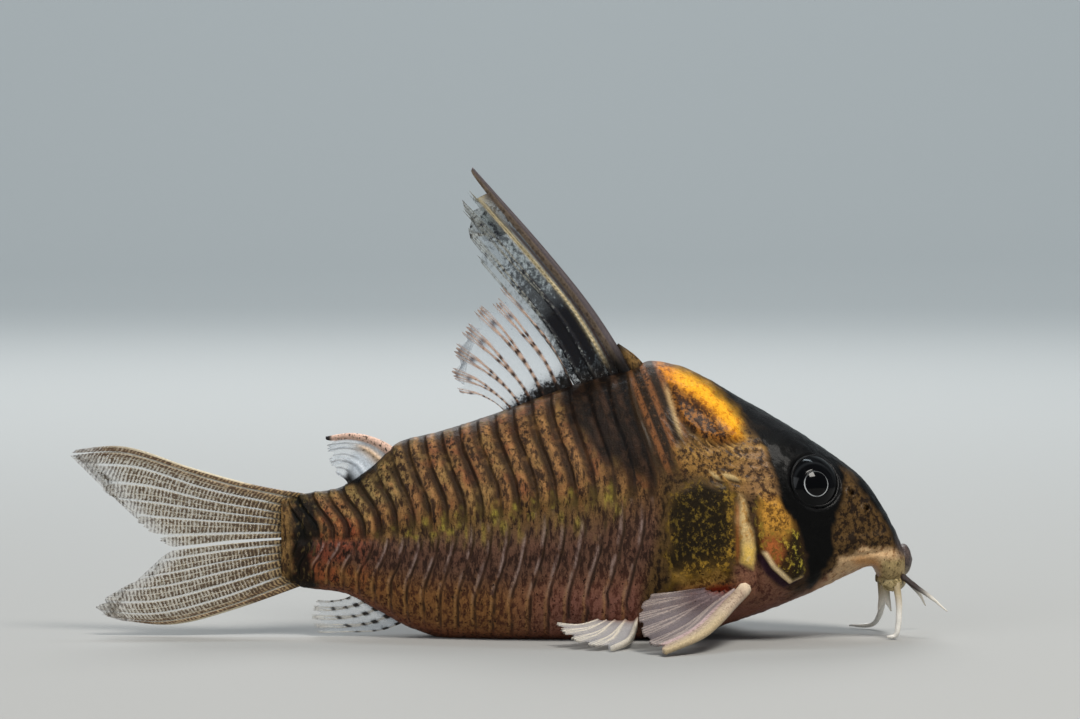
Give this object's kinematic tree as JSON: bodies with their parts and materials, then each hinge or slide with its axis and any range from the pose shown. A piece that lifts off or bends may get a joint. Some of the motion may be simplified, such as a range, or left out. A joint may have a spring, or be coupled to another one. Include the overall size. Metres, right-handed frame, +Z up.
{
  "type": "corydoras catfish",
  "caption": "Small armoured catfish at rest on its belly, a still life-size model with overlapping flank plates, tall swept dorsal fin, forked tail, spread paired fins and curled barbels.",
  "frame": {"origin": "under the middle of the fish's overall length and width, on the level surface it rests on", "axes": "+X towards the snout, +Y to the fish's left side, +Z up"},
  "size_m": [0.0789, 0.0372, 0.0424],
  "materials": {
    "skin": "wet skin over bony plates, copper-brown with dark seams, black eye mask and gold nape",
    "eye": "clear wet eye, black with a thin silver ring",
    "fin": "thin translucent web between spotted rays",
    "barbel": "soft pale skin"
  },
  "bodies": {
    "root": {"head": "skin", "torso": "skin", "tail_stalk": "skin", "eye_left": "eye", "eye_right": "eye", "fin_dorsal_front": "fin", "fin_dorsal_rear": "fin", "fin_adipose": "fin", "fin_anal": "fin", "fin_caudal_upper": "fin", "fin_caudal_lower": "fin", "fin_pectoral_left": "fin", "fin_pectoral_right": "fin", "fin_pelvic_left": "fin", "fin_pelvic_right": "fin", "barbel_upper_left": "barbel", "barbel_upper_right": "barbel", "barbel_lower_left": "barbel", "barbel_lower_right": "barbel", "barbel_chin_left": "barbel", "barbel_chin_right": "barbel"}
  },
  "joints": []
}
